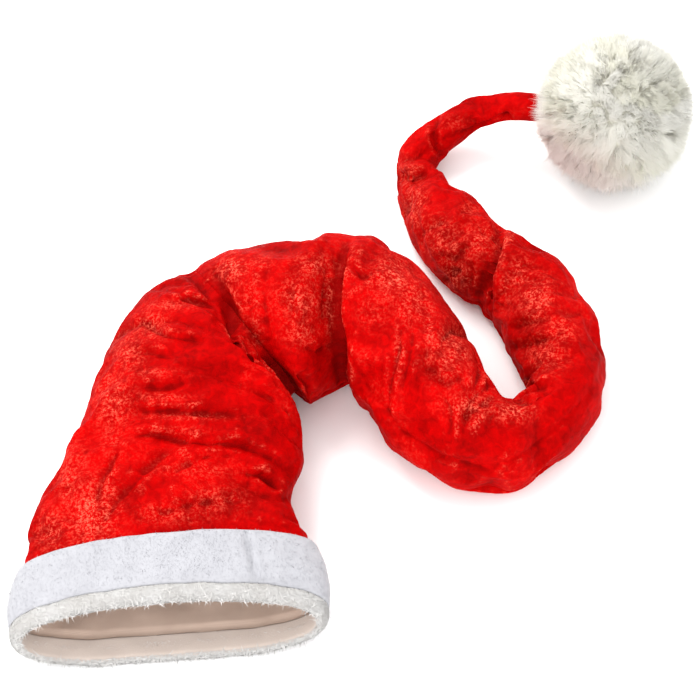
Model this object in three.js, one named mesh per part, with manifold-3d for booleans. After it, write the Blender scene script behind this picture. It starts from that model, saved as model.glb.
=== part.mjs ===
// A long santa hat lying on a table: a hollow crown of crushed velvet with a plush band round its
// rim, a stuffed tail that bends to and fro on the table, and a fur pompom at its tip.
// Millimetres, +Z up, +X across and +Y away from the open rim.
import * as THREE from "three";
import { LoftGeometry } from "three/addons/geometries/LoftGeometry.js";
import { mergeVertices } from "three/addons/utils/BufferGeometryUtils.js";
import Module from "manifold-3d";

// How far the centreline wanders across and away from the rim
const LAY_WIDTH = 380;
const LAY_DEPTH = 655;

// The velvet cone as it lies
const CROWN_WIDTH = 285;
const CROWN_HEIGHT = 140;
const TAIL_WIDTH = 176;
const TAIL_HEIGHT = 150;

// Cloth and trim
const VELVET_WALL = 2;
const LINING_WALL = 1.2;
const BAND_THICKNESS = 6;
const BAND_LENGTH = 80;
const HEM_LENGTH = 14;
const HEM_FACING = 9;
const SEAM_GAP = 0.3;
const LINING_DEPTH = 190;
const LANDING_LENGTH = 70;

// Pompom
const POMPOM_HEAD = 72;
const LOCK_LENGTH = 13;
const LOCK_WIDTH = 42;
const LOCK_COUNT = 46;
const POMPOM_SETTLE = 4;
const POCKET_DEPTH = 12;

// Share of a section's height that is pressed flat on the table, and how square its lower corners are
const FLAT_SHARE = 0.05;
const CORNER_POWER = 0.7;

// Faces round each tube and steps along it
const CROWN_SIDES = 28;
const TAIL_SIDES = 20;
const CROWN_STEP = 18;
const TAIL_STEP = 14;
const FOLD_STEP = 6;

// Sections of the velvet cone from the rim to the tip. x and y are shares of LAY_WIDTH and LAY_DEPTH,
// face is the way that the section looks, in degrees. wide and high are shares of the crown's sizes
// up to the fold that ends it, and of the tail's after it. lift is a share of the pompom's, and lean
// is how far the section's top leans back, as a share of half its height.
const CROWN_ROWS = [
  { x: 0, y: 0, face: 95, wide: 0.979, high: 0.52, lift: 0, lean: -0.26 },
  { x: -0.005, y: 0.061, face: 95, wide: 1.004, high: 0.54, lift: 0, lean: -0.1 },
  { x: -0.013, y: 0.127, face: 96, wide: 0.944, high: 0.58, lift: 0, lean: 0 },
  { x: -0.021, y: 0.211, face: 91, wide: 0.846, high: 0.74, lift: 0, lean: 0 },
  { x: 0.025, y: 0.299, face: 88, wide: 0.786, high: 0.86, lift: 0, lean: 0 },
  { x: 0.045, y: 0.379, face: 79, wide: 0.716, high: 0.94, lift: 0, lean: 0 },
  { x: 0.066, y: 0.432, face: 64, wide: 0.716, high: 0.98, lift: 0, lean: 0.05 },
  { x: 0.111, y: 0.485, face: 48, wide: 0.726, high: 1.01, lift: 0, lean: 0.18 },
  { x: 0.163, y: 0.519, face: 34, wide: 0.712, high: 1.02, lift: 0, lean: 0.34 },
];
const TAIL_ROWS = [
  { x: 0.313, y: 0.542, face: 7, wide: 0.943, high: 0.99, lift: 0, lean: 0.12 },
  { x: 0.432, y: 0.565, face: -9, wide: 0.92, high: 0.99, lift: 0, lean: 0.18 },
  { x: 0.511, y: 0.531, face: -16, wide: 0.977, high: 0.96, lift: 0, lean: 0.1 },
  { x: 0.634, y: 0.434, face: -24, wide: 0.869, high: 0.89, lift: 0, lean: 0 },
  { x: 0.696, y: 0.388, face: -24, wide: 0.784, high: 0.85, lift: 0, lean: 0 },
  { x: 0.75, y: 0.35, face: -21, wide: 0.665, high: 0.79, lift: 0, lean: 0 },
  { x: 0.801, y: 0.336, face: -12, wide: 0.557, high: 0.72, lift: 0, lean: 0 },
  { x: 0.85, y: 0.334, face: 0, wide: 0.523, high: 0.67, lift: 0, lean: 0 },
  { x: 0.908, y: 0.366, face: 19, wide: 0.46, high: 0.64, lift: 0, lean: 0 },
  { x: 0.958, y: 0.402, face: 45, wide: 0.438, high: 0.63, lift: 0, lean: 0 },
  { x: 0.984, y: 0.443, face: 69, wide: 0.466, high: 0.63, lift: 0, lean: 0 },
  { x: 0.961, y: 0.547, face: 94, wide: 0.54, high: 0.63, lift: 0, lean: 0 },
  { x: 0.926, y: 0.606, face: 108, wide: 0.534, high: 0.61, lift: 0, lean: 0 },
  { x: 0.882, y: 0.65, face: 135, wide: 0.5, high: 0.6, lift: 0, lean: 0 },
  { x: 0.812, y: 0.687, face: 160, wide: 0.551, high: 0.57, lift: 0, lean: 0 },
  { x: 0.721, y: 0.76, face: 149, wide: 0.545, high: 0.51, lift: 0, lean: 0 },
  { x: 0.668, y: 0.811, face: 140, wide: 0.455, high: 0.45, lift: 0, lean: 0 },
  { x: 0.637, y: 0.866, face: 127, wide: 0.352, high: 0.37, lift: 0, lean: 0 },
  { x: 0.622, y: 0.91, face: 102, wide: 0.267, high: 0.32, lift: 0, lean: 0 },
  { x: 0.624, y: 0.94, face: 67, wide: 0.267, high: 0.29, lift: 0.04, lean: 0 },
  { x: 0.655, y: 0.963, face: 42, wide: 0.261, high: 0.28, lift: 0.12, lean: 0 },
  { x: 0.768, y: 1.002, face: 22, wide: 0.244, high: 0.25, lift: 0.41, lean: 0 },
  { x: 0.87, y: 0.998, face: 1, wide: 0.193, high: 0.21, lift: 0.73, lean: 0 },
  { x: 0.982, y: 0.986, face: -14, wide: 0.165, high: 0.18, lift: 0.83, lean: 0 },
];

// Folds of the velvet. row counts the sections above from the rim. near and far are how far a fold
// fades towards the rim and the tip, as shares of TAIL_WIDTH, and deep is a share of the section's
// half size. It is deepest at around, in degrees from the tail's left side over its top, and fades
// over span. least is the share of the depth that stays all the way round, and twist is how many
// rows the fold moves along for each turn round the tube.
const FOLDS = [
  { row: 8, near: 0.16, far: 0.09, deep: 0.34, around: 135, span: 130, least: 0.35, twist: 0 },
  { row: 10, near: 0.05, far: 0.07, deep: 0.17, around: 150, span: 130, least: 0.25, twist: 0 },
  { row: 23, near: 0.05, far: 0.06, deep: 0.26, around: 20, span: 130, least: 0.12, twist: 0 },
  { row: 27.4, near: 0.06, far: 0.06, deep: 0.2, around: 170, span: 120, least: 0.2, twist: 0 },
  { row: 7.2, near: 0.05, far: 0.08, deep: 0.1, around: 75, span: 60, least: 0, twist: 1.6 },
  { row: 6.2, near: 0.06, far: 0.08, deep: 0.08, around: 60, span: 60, least: 0, twist: 2 },
  { row: 4.9, near: 0.05, far: 0.08, deep: 0.06, around: 110, span: 70, least: 0, twist: -0.6 },
  { row: 4.1, near: 0.06, far: 0.06, deep: 0.07, around: 120, span: 75, least: 0, twist: 0.5 },
  { row: 12.6, near: 0.05, far: 0.05, deep: 0.08, around: 20, span: 70, least: 0, twist: -1 },
  { row: 13.9, near: 0.05, far: 0.06, deep: 0.12, around: 5, span: 75, least: 0, twist: -1 },
  { row: 15.2, near: 0.05, far: 0.05, deep: 0.15, around: 5, span: 80, least: 0, twist: 0.5 },
  { row: 16.9, near: 0.04, far: 0.05, deep: 0.2, around: 5, span: 80, least: 0, twist: 1.4 },
  { row: 18.4, near: 0.05, far: 0.05, deep: 0.15, around: 5, span: 75, least: 0, twist: 1.6 },
];

const TURN = 2 * Math.PI;
const radians = THREE.MathUtils.degToRad;
const fold = CROWN_ROWS.length - 1;
const pompomRadius = POMPOM_HEAD + LOCK_LENGTH;
const pompomHeight = pompomRadius - POMPOM_SETTLE;
const tipRow = TAIL_ROWS[TAIL_ROWS.length - 1];
const tipLift = pompomHeight - (TAIL_HEIGHT * tipRow.high) / 2;
const bandOut = SEAM_GAP + BAND_THICKNESS;
const liningOut = -VELVET_WALL - SEAM_GAP;

// A table row as lengths: place, facing, width, height, lift and lean of one section.
function sizeOf(row, width, height) {
  return [
    row.x * LAY_WIDTH,
    row.y * LAY_DEPTH,
    radians(row.face),
    row.wide * width,
    row.high * height,
    row.lift * tipLift,
    row.lean,
  ];
}

const sections = [
  ...CROWN_ROWS.map((row) => sizeOf(row, CROWN_WIDTH, CROWN_HEIGHT)),
  ...TAIL_ROWS.map((row) => sizeOf(row, TAIL_WIDTH, TAIL_HEIGHT)),
];

// Distance of each section from the rim, measured along the centreline.
const distances = [0];
for (let i = 1; i < sections.length; i++) {
  const [x0, y0] = sections[i - 1];
  const [x1, y1] = sections[i];
  distances.push(distances[i - 1] + Math.hypot(x1 - x0, y1 - y0));
}
const route = new THREE.CubicInterpolant(distances, sections.flat(), sections[0].length);
const foldAt = distances[fold];
const tipAt = distances[distances.length - 1];

// Distance from the rim of a place given in table rows.
function distanceOf(row) {
  const i = Math.min(Math.floor(row), distances.length - 2);
  return THREE.MathUtils.lerp(distances[i], distances[i + 1], row - i);
}

// How far the folds press the velvet in at one place, as a share of its half size.
function dentAt(along, angle) {
  let dent = 0;
  for (const f of FOLDS) {
    let turned = THREE.MathUtils.euclideanModulo(angle - radians(f.around) + Math.PI, TURN) - Math.PI;
    const away = along - distanceOf(f.row + (f.twist * turned) / TURN);
    const fade = (away < 0 ? f.near : f.far) * TAIL_WIDTH;
    const side = Math.exp(-Math.abs(away) / fade);
    turned = Math.min(Math.abs(turned) / radians(f.span), 1);
    const round = f.least + (1 - f.least) * 0.5 * (1 + Math.cos(Math.PI * turned));
    dent += f.deep * side * round;
  }
  return dent;
}

// Height of the velvet's underside: the band holds it off the table near the rim.
function undersideAt(along) {
  return bandOut * (1 - THREE.MathUtils.smoothstep(along, BAND_LENGTH, BAND_LENGTH + LANDING_LENGTH));
}

// One closed section of points, out outside the velvet's face, moved ahead along its own facing.
function ring(along, out, sides, ahead = 0) {
  const [x, y, face, wide, high, lift, lean] = route.evaluate(along);
  const low = undersideAt(along) + Math.max(lift, 0);
  const middle = low + high * (0.5 - FLAT_SHARE);
  const points = [];
  for (let i = 0; i < sides; i++) {
    const angle = (i / sides) * TURN;
    const keep = 1 - dentAt(along, angle);
    const sine = Math.sin(angle);
    const rise = sine < 0 ? -((-sine) ** CORNER_POWER) : sine;
    const across = ((wide / 2) * keep + out) * Math.cos(angle);
    const up = Math.max(((high / 2) * keep + out) * rise, low - out - middle);
    const forward = ahead - lean * up;
    points.push(
      new THREE.Vector3(
        x - Math.sin(face) * across + Math.cos(face) * forward,
        y + Math.cos(face) * across + Math.sin(face) * forward,
        middle + up,
      ),
    );
  }
  return points;
}

// Places of the sections between two distances, closer together near the deep folds.
function steps(from, to, coarse) {
  const deep = FOLDS.filter((f) => f.least > 0).map((f) => distanceOf(f.row));
  const places = [from];
  for (;;) {
    const last = places[places.length - 1];
    const near = Math.min(...deep.map((place) => Math.abs(place - last)));
    const next = last + THREE.MathUtils.clamp(near / 3, FOLD_STEP, coarse);
    if (next > to - FOLD_STEP / 2) break;
    places.push(next);
  }
  return [...places, to];
}

function named(name, geometry, material) {
  const mesh = new THREE.Mesh(geometry, material);
  mesh.name = name;
  return mesh;
}

const wasm = await Module();
wasm.setup();

function solidOf(geometry) {
  const bare = new THREE.BufferGeometry();
  bare.setAttribute("position", geometry.attributes.position);
  bare.setIndex(geometry.index);
  const merged = mergeVertices(bare, 1e-4);
  return new wasm.Manifold(
    new wasm.Mesh({
      numProp: 3,
      vertProperties: new Float32Array(merged.attributes.position.array),
      triVerts: new Uint32Array(merged.index.array),
    }),
  );
}

function geometryOf(solid) {
  const mesh = solid.getMesh();
  const geometry = new THREE.BufferGeometry();
  geometry.setAttribute("position", new THREE.BufferAttribute(mesh.vertProperties, 3));
  geometry.setIndex(new THREE.BufferAttribute(mesh.triVerts, 1));
  geometry.computeVertexNormals();
  return geometry;
}

// A closed tube through rings of points.
function tube(rings) {
  return solidOf(new LoftGeometry(rings, { capStart: true, capEnd: true }));
}

const clothStart = HEM_LENGTH + SEAM_GAP;
const facingEnd = HEM_LENGTH + HEM_FACING;

// Places of the crown's sections, shared by all the cloth layers so that their facets lie parallel.
const crownPlaces = [
  ...steps(clothStart, facingEnd, CROWN_STEP),
  ...steps(facingEnd, BAND_LENGTH, CROWN_STEP).slice(1),
  ...steps(BAND_LENGTH, foldAt, CROWN_STEP).slice(1),
];

// Rings of the crown's form at one outset, at the same places as the other layers'.
function layer(from, to, out) {
  const between = crownPlaces.filter((along) => along > from && along < to);
  return [from, ...between, to].map((along) => ring(along, out, CROWN_SIDES));
}

// A hollow cloth tube, open at its rim end and closed by its own wall at the other.
function pocket(to, out, wall) {
  return geometryOf(tube(layer(clothStart, to, out)).subtract(tube(layer(0, to - wall, out - wall))));
}

// A cloth ring left of a body by a bore that runs through it from the rim.
function bored(body, to, out) {
  return geometryOf(body.subtract(tube(layer(0, to + FOLD_STEP, out))));
}

const velvet = new THREE.MeshStandardMaterial({ color: 0xcf0a0a, roughness: 0.55, metalness: 0 });
const plush = new THREE.MeshStandardMaterial({ color: 0xf2f1f4, roughness: 0.95, metalness: 0 });
const liningCloth = new THREE.MeshStandardMaterial({ color: 0xe3dad2, roughness: 0.9, metalness: 0 });
const fur = new THREE.MeshStandardMaterial({ color: 0xf1f0ea, roughness: 0.95, metalness: 0 });

function velvetCrown() {
  return named("velvet_crown", pocket(foldAt, 0, VELVET_WALL), velvet);
}

function lining() {
  const end = Math.max(...crownPlaces.filter((along) => along <= LINING_DEPTH && along < foldAt));
  const body = tube(layer(clothStart, end, liningOut));
  return named("lining", bored(body, end, liningOut - LINING_WALL), liningCloth);
}

// The plush band, rounded at both its edges.
function brimBand() {
  const round = BAND_THICKNESS / 3;
  const body = tube([
    ring(clothStart, bandOut - 2 * round, CROWN_SIDES),
    ...layer(clothStart + 2 * round, BAND_LENGTH - round, bandOut),
    ring(BAND_LENGTH, bandOut - round, CROWN_SIDES),
  ]);
  return named("brim_band", bored(body, BAND_LENGTH, SEAM_GAP), plush);
}

// The rolled hem below the band, turned in over the edge of the lining.
function brimHem() {
  const round = BAND_THICKNESS / 3;
  const inner = liningOut - LINING_WALL - SEAM_GAP;
  const roll = tube([
    ring(0, bandOut - 3 * round, CROWN_SIDES),
    ring(round, bandOut - round, CROWN_SIDES),
    ring(HEM_LENGTH / 2, bandOut, CROWN_SIDES),
    ring(HEM_LENGTH - round, bandOut - round / 2, CROWN_SIDES),
    ring(HEM_LENGTH, bandOut - 2 * round, CROWN_SIDES),
  ]);
  const facing = tube(layer(round, facingEnd, inner));
  const bore = tube([
    ring(0, inner, CROWN_SIDES, -FOLD_STEP),
    ring(0, inner, CROWN_SIDES),
    ...layer(round, facingEnd + FOLD_STEP, inner - LINING_WALL),
  ]);
  return named("brim_hem", geometryOf(roll.add(facing).subtract(bore)), plush);
}

// The stuffed tail, whose first face stands off the crown's end face by the seam gap.
function velvetTail() {
  const [, ...rest] = steps(foldAt, tipAt, TAIL_STEP);
  const rings = [ring(foldAt, 0, TAIL_SIDES, SEAM_GAP), ...rest.map((along) => ring(along, 0, TAIL_SIDES))];
  return named("velvet_tail", geometryOf(tube(rings)), velvet);
}

// One tuft of fur, pointing along +Z from inside the head, its tip bent aside.
function lockGeometry(length, bend) {
  const sides = 5;
  const stages = [
    { up: -LOCK_LENGTH, size: 0.4, side: 0 },
    { up: length * 0.35, size: 0.42, side: 0 },
    { up: length, size: 0.1, side: bend },
  ];
  const rings = stages.map(({ up, size, side }) =>
    Array.from({ length: sides }, (_, i) => {
      const angle = (i / sides) * TURN;
      return new THREE.Vector3(
        Math.cos(angle) * size * LOCK_WIDTH + side,
        Math.sin(angle) * size * LOCK_WIDTH,
        up,
      );
    }),
  );
  return new LoftGeometry(rings, { capStart: true, capEnd: true });
}

// The pompom: tufts spread evenly over a head, cut flat where it rests and pocketed for the tail's tip.
function pompom() {
  const [x, y, face] = route.evaluate(tipAt);
  const reach = pompomRadius - POCKET_DEPTH;
  const centre = new THREE.Vector3(x + Math.cos(face) * reach, y + Math.sin(face) * reach, pompomHeight);
  const golden = Math.PI * (3 - Math.sqrt(5));
  const tufts = Array.from({ length: LOCK_COUNT }, (_, i) => {
    const up = 1 - (2 * i + 1) / LOCK_COUNT;
    const level = Math.sqrt(1 - up * up);
    const outward = new THREE.Vector3(level * Math.cos(i * golden), level * Math.sin(i * golden), up);
    const length = LOCK_LENGTH * (0.9 + 0.1 * Math.cos(i * 2.4));
    const tuft = lockGeometry(length, LOCK_WIDTH * 0.25 * Math.sin(i * 1.7));
    tuft.applyQuaternion(
      new THREE.Quaternion().setFromUnitVectors(new THREE.Vector3(0, 0, 1), outward),
    );
    tuft.translate(...outward.multiplyScalar(POMPOM_HEAD).toArray());
    return solidOf(tuft);
  });
  const head = solidOf(new THREE.IcosahedronGeometry(POMPOM_HEAD, 2));
  const ball = wasm.Manifold.union([head, ...tufts]).translate(centre.toArray());
  const size = 4 * pompomRadius;
  const above = solidOf(new THREE.BoxGeometry(size, size, size)).translate([
    centre.x,
    centre.y,
    size / 2,
  ]);
  const pocketRings = steps(tipAt - 3 * POCKET_DEPTH, tipAt, TAIL_STEP).map((along) =>
    ring(along, SEAM_GAP, TAIL_SIDES),
  );
  pocketRings.push(ring(tipAt, SEAM_GAP, TAIL_SIDES, SEAM_GAP));
  return named("pompom", geometryOf(ball.intersect(above).subtract(tube(pocketRings))), fur);
}

const hat = new THREE.Group();
hat.add(velvetCrown(), velvetTail(), brimBand(), brimHem(), lining(), pompom());

// The origin is the middle of the hat's outline on the table.
const box = new THREE.Box3().setFromObject(hat, true);
const middle = box.getCenter(new THREE.Vector3());
hat.position.set(-middle.x, -middle.y, -box.min.z);

export default hat;
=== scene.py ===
"""A long santa hat lying on a table: crushed velvet, a plush rim and a fur pompom, in metres."""
import math

import bpy
import numpy as np
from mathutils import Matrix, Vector, noise


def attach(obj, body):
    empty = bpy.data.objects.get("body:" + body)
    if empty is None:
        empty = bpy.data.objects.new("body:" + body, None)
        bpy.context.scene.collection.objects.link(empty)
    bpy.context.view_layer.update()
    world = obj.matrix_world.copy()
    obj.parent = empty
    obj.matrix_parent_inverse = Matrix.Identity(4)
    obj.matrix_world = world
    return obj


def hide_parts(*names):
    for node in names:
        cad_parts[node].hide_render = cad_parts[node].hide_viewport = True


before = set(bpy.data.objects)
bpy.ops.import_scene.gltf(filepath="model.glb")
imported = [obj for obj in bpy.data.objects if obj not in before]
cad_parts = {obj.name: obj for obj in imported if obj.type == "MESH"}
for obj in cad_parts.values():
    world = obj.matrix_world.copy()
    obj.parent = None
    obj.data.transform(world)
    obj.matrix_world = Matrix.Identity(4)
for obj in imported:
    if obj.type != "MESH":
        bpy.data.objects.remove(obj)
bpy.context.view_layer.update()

MM = 0.001

# The camera of the photograph: 50 degrees above the table, 3 m away, in a frame of 700 pixels
IMAGE = 700
FOCUS = 2970
ELEVATION = math.radians(50)
CAMERA_DISTANCE = 3.0
PIXELS_PER_MM = FOCUS / CAMERA_DISTANCE / 1000
TARGET = Vector((-0.02258, 0.02332, 0.0))

# Sizes of the hat, the same as the solid model's
RIM_PLACE = (-0.18858, -0.34769)
LAY_WIDTH = 0.380
LAY_DEPTH = 0.655
CROWN_WIDTH = 0.285
CROWN_HEIGHT = 0.140
TAIL_WIDTH = 0.176
TAIL_HEIGHT = 0.150
VELVET_WALL = 0.002
LINING_WALL = 0.0012
BAND_THICKNESS = 0.006
BAND_LENGTH = 0.080
HEM_LENGTH = 0.014
HEM_FACING = 0.009
SEAM_GAP = 0.0003
LINING_DEPTH = 0.190
LANDING_LENGTH = 0.070
POMPOM_RADIUS = 0.085
POMPOM_HEIGHT = 0.081
POCKET_DEPTH = 0.012
FLAT_SHARE = 0.05
CORNER_POWER = 0.7

# Gaps between the velvet's rings, and points round each ring, before both are refined
CROWN_STEP = 0.0032
TAIL_STEP = 0.0049
SKIN_SIDES = 126

# Sections of the velvet cone from the rim to the tip: x, y, face, wide, high, lift, lean
CROWN_ROWS = [
    (0, 0, 95, 0.979, 0.52, 0, -0.26),
    (-0.005, 0.061, 95, 1.004, 0.54, 0, -0.1),
    (-0.013, 0.127, 96, 0.944, 0.58, 0, 0),
    (-0.021, 0.211, 91, 0.846, 0.74, 0, 0),
    (0.025, 0.299, 88, 0.786, 0.86, 0, 0),
    (0.045, 0.379, 79, 0.716, 0.94, 0, 0),
    (0.066, 0.432, 64, 0.716, 0.98, 0, 0.05),
    (0.111, 0.485, 48, 0.726, 1.01, 0, 0.18),
    (0.163, 0.519, 34, 0.712, 1.02, 0, 0.34),
]
TAIL_ROWS = [
    (0.313, 0.542, 7, 0.943, 0.99, 0, 0.12),
    (0.432, 0.565, -9, 0.92, 0.99, 0, 0.18),
    (0.511, 0.531, -16, 0.977, 0.96, 0, 0.1),
    (0.634, 0.434, -24, 0.869, 0.89, 0, 0),
    (0.696, 0.388, -24, 0.784, 0.85, 0, 0),
    (0.75, 0.35, -21, 0.665, 0.79, 0, 0),
    (0.801, 0.336, -12, 0.557, 0.72, 0, 0),
    (0.85, 0.334, 0, 0.523, 0.67, 0, 0),
    (0.908, 0.366, 19, 0.46, 0.64, 0, 0),
    (0.958, 0.402, 45, 0.438, 0.63, 0, 0),
    (0.984, 0.443, 69, 0.466, 0.63, 0, 0),
    (0.961, 0.547, 94, 0.54, 0.63, 0, 0),
    (0.926, 0.606, 108, 0.534, 0.61, 0, 0),
    (0.882, 0.65, 135, 0.5, 0.6, 0, 0),
    (0.812, 0.687, 160, 0.551, 0.57, 0, 0),
    (0.721, 0.76, 149, 0.545, 0.51, 0, 0),
    (0.668, 0.811, 140, 0.455, 0.45, 0, 0),
    (0.637, 0.866, 127, 0.352, 0.37, 0, 0),
    (0.622, 0.91, 102, 0.267, 0.32, 0, 0),
    (0.624, 0.94, 67, 0.267, 0.29, 0.04, 0),
    (0.655, 0.963, 42, 0.261, 0.28, 0.12, 0),
    (0.768, 1.002, 22, 0.244, 0.25, 0.41, 0),
    (0.87, 0.998, 1, 0.193, 0.21, 0.73, 0),
    (0.982, 0.986, -14, 0.165, 0.18, 0.83, 0),
]

# Folds of the velvet: row, near, far, deep, around, span, least, twist
FOLDS = [
    (8, 0.16, 0.09, 0.34, 135, 130, 0.35, 0),
    (10, 0.05, 0.07, 0.17, 150, 130, 0.25, 0),
    (23, 0.05, 0.06, 0.26, 20, 130, 0.12, 0),
    (27.4, 0.06, 0.06, 0.2, 170, 120, 0.2, 0),
    (7.2, 0.05, 0.08, 0.1, 75, 60, 0, 1.6),
    (6.2, 0.06, 0.08, 0.08, 60, 60, 0, 2),
    (4.9, 0.05, 0.08, 0.06, 110, 70, 0, -0.6),
    (4.1, 0.06, 0.06, 0.07, 120, 75, 0, 0.5),
    (12.6, 0.05, 0.05, 0.08, 20, 70, 0, -1),
    (13.9, 0.05, 0.06, 0.12, 5, 75, 0, -1),
    (15.2, 0.05, 0.05, 0.15, 5, 80, 0, 0.5),
    (16.9, 0.04, 0.05, 0.2, 5, 80, 0, 1.4),
    (18.4, 0.05, 0.05, 0.15, 5, 75, 0, 1.6),
]

# Creases and ridges as the photograph shows them: the pixels that each runs through, the rows of the
# hat that it lies on, its depth and half width, and how high and how wide the velvet swells on its
# left as one travels along it, or on its right where the height is negative. Depths, widths and
# heights are in mm, before the gains below.
CREASES = [
    ([(211, 268), (222, 290), (231, 314), (238, 345), (246, 357), (270, 366), (286, 381), (301, 403)],
     (6.6, 9.6), 7, 5, 2, 14),
    ([(186, 273), (200, 283), (213, 298), (224, 303)], (5.5, 8), 5, 4, 4, 9),
    ([(160, 300), (190, 300), (214, 305), (222, 312)], (4.5, 8), 3, 3, 4, 8),
    ([(219, 309), (219, 322), (226, 334)], (5.5, 7.6), 3, 4.5, 0, 8),
    ([(136, 318), (165, 334), (205, 342)], (3, 7.5), 3.5, 3, 3, 9),
    ([(133, 352), (150, 352), (174, 357)], (3, 7), 3, 3.5, 2.5, 8),
    ([(130, 384), (160, 388), (182, 384), (186, 374)], (3, 7), 3, 4, 3, 9),
    ([(132, 413), (170, 410), (210, 412), (241, 416)], (2, 6.5), 3.5, 4, 3, 9),
    ([(118, 436), (150, 434), (190, 441), (240, 444), (268, 456), (292, 470)], (1.5, 6), 4.5, 4, 4, 9),
    ([(98, 530), (118, 500), (145, 470), (180, 442)], (0.5, 5), 3.5, 5, -2.5, 9),
    ([(160, 486), (180, 466), (205, 456), (236, 455)], (1, 5), 3, 4.5, 2.5, 10),
    ([(118, 434), (117, 455), (103, 478), (96, 505)], (0.5, 5), 2.5, 3, 2, 7),
    ([(150, 516), (185, 505), (214, 500), (240, 500)], (0.5, 4), 2.5, 4, 2, 9),
    ([(246, 474), (262, 474), (282, 489)], (1, 5), 5, 3.5, 4, 8),
    ([(250, 492), (268, 494), (290, 500)], (1, 4), 3, 4, 2, 8),
    ([(248, 380), (275, 400), (296, 430)], (2, 7), 2.5, 5, 2, 12),
    ([(243, 358), (241, 390), (244, 430), (248, 470), (250, 527)], (0.5, 7.6), 1.8, 1.8, 0, 5),
    ([(62, 500), (75, 470), (92, 440)], (0.5, 5), 2, 4, 2, 8),
    ([(348, 240), (341, 262), (337, 285), (336, 315), (342, 342), (342, 372), (346, 392)],
     (9.2, 12.5), 8, 4.5, 5, 14),
    ([(329, 262), (326, 292), (324, 330)], (9, 12), 3, 3.5, 3, 7),
    ([(268, 262), (262, 290), (266, 330), (270, 352)], (8, 11), 3, 5, -3, 10),
    ([(296, 262), (292, 300), (288, 340)], (8.3, 11), 2.5, 6, 2, 12),
    ([(244, 264), (250, 290), (247, 320)], (8, 10), 2.5, 5, -2, 9),
    ([(300, 345), (318, 352), (338, 342)], (8.5, 12), 2.5, 4, 3, 9),
    ([(296, 376), (308, 384), (313, 400)], (8.3, 12), 5, 4, -4, 8),
    ([(343, 291), (362, 280), (384, 266)], (10, 14), 3, 3, -3, 8),
    ([(347, 262), (360, 274), (372, 276)], (9.5, 13), 4, 4, -3, 8),
    ([(345, 344), (372, 395), (402, 432), (440, 456), (486, 470), (528, 452), (566, 418), (594, 388)],
     (10, 22), 1.8, 2, 0, 6),
    ([(404, 322), (397, 352), (390, 385), (386, 418)], (11, 15), 4, 3.5, 3.5, 8),
    ([(414, 330), (409, 360), (400, 392)], (11, 15), 3, 3.5, 2.5, 7),
    ([(424, 345), (430, 368), (446, 384), (466, 376)], (11, 16), 3, 5, 3, 9),
    ([(478, 349), (484, 366), (478, 386), (462, 400)], (12, 18), 5, 4, 3.5, 9),
    ([(494, 366), (490, 384), (474, 400), (458, 425)], (13, 19), 6, 4, -3.5, 9),
    ([(500, 388), (487, 402), (470, 416), (463, 436)], (13, 19), 5, 3.5, 3, 7),
    ([(506, 385), (515, 390), (530, 384), (548, 384)], (15, 21), 7, 4, 4, 9),
    ([(508, 394), (522, 402), (536, 400), (556, 384)], (15, 21), 4, 4, -4, 8),
    ([(444, 396), (452, 412), (450, 438)], (12, 18), 3, 3, 2, 6),
    ([(508, 330), (530, 322), (552, 318)], (17, 23), 3, 4.5, 2.5, 9),
    ([(506, 350), (528, 344), (556, 336)], (17, 22), 3, 4.5, 2.5, 9),
    ([(501, 222), (498, 244), (489, 276), (488, 309)], (21.4, 25), 8, 4.5, 6, 14),
    ([(476, 298), (482, 286), (486, 272)], (22, 25.5), 4, 3, -3, 7),
    ([(452, 262), (462, 248), (478, 240)], (22.5, 26), 3, 4.5, 2.5, 8),
    ([(418, 238), (432, 226), (446, 222)], (23, 27), 3, 4, -3, 8),
    ([(436, 285), (452, 276), (466, 262)], (22, 26), 3, 4, 2.5, 8),
    ([(462, 296), (470, 280), (472, 262)], (22, 26), 3, 4, 2.5, 8),
    ([(468, 215), (486, 232), (500, 236)], (21.5, 25), 3, 4, 2.5, 8),
    ([(395, 176), (414, 176), (428, 173)], (26, 29), 5, 3.5, 3, 8),
    ([(436, 110), (433, 128), (437, 148), (444, 158)], (27.4, 31), 5, 3.5, -3, 7),
    ([(398, 160), (412, 158), (432, 150)], (26.5, 30), 2.5, 4, 2, 7),
    ([(440, 140), (468, 130), (500, 117)], (29, 33), 1.6, 1.8, 0, 5),
    ([(502, 113), (508, 122)], (29, 33), 6, 4, 0, 5),
    ([(414, 205), (420, 240), (430, 262)], (23.5, 28), 2, 4, 2, 8),
]

# How much deeper and wider a groove is and how much higher its swell is than the list says, and over
# how many rows a crease fades out
GROOVE_GAIN = 1.7
GROOVE_SPREAD = 1.15
SWELL_GAIN = 1.6
ROW_FADE = 0.3

# Small dents of the velvet: their scales, and the depth of the fine ones and the middle level in mm
COARSE_DENTS = 38
FINE_DENTS = 85
FINE_DEPTH = 1.3
DENT_LEVEL = 0.25

# The slack that the velvet starts with, the most that it may move, the height and the row below which
# it is held, and how firmly it is held elsewhere
SLACK = 0.0035
MOST_MOVE = 9 * MM
HELD_HEIGHT = 0.012
HELD_ROW = 2.1
HELD_ELSEWHERE = 0.12
CLOTH_FRAMES = 20
DEEP_FOLDS = [fold[0] for fold in FOLDS[:4]]

# Plush and fur: points round the rim, clearances from the table, how deep blades are rooted, and the
# fur's root radius, strand length, half strand width, tufts and strands in each of its two pieces
RIM_SIDES = 260
PILE_CLEARANCE = 0.0003
FUR_CLEARANCE = 0.0004
ROOT_DEPTH = 0.0006
FUR_ROOT = 0.064
FUR_LENGTH = 0.0195
STRAND_HALF = 0.0003
TUFTS = 620
STRANDS = 62000
CORE_RADIUS = 0.067
CORE_LUMPS = 0.004
LIGHT_THROUGH = 0.42

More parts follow.
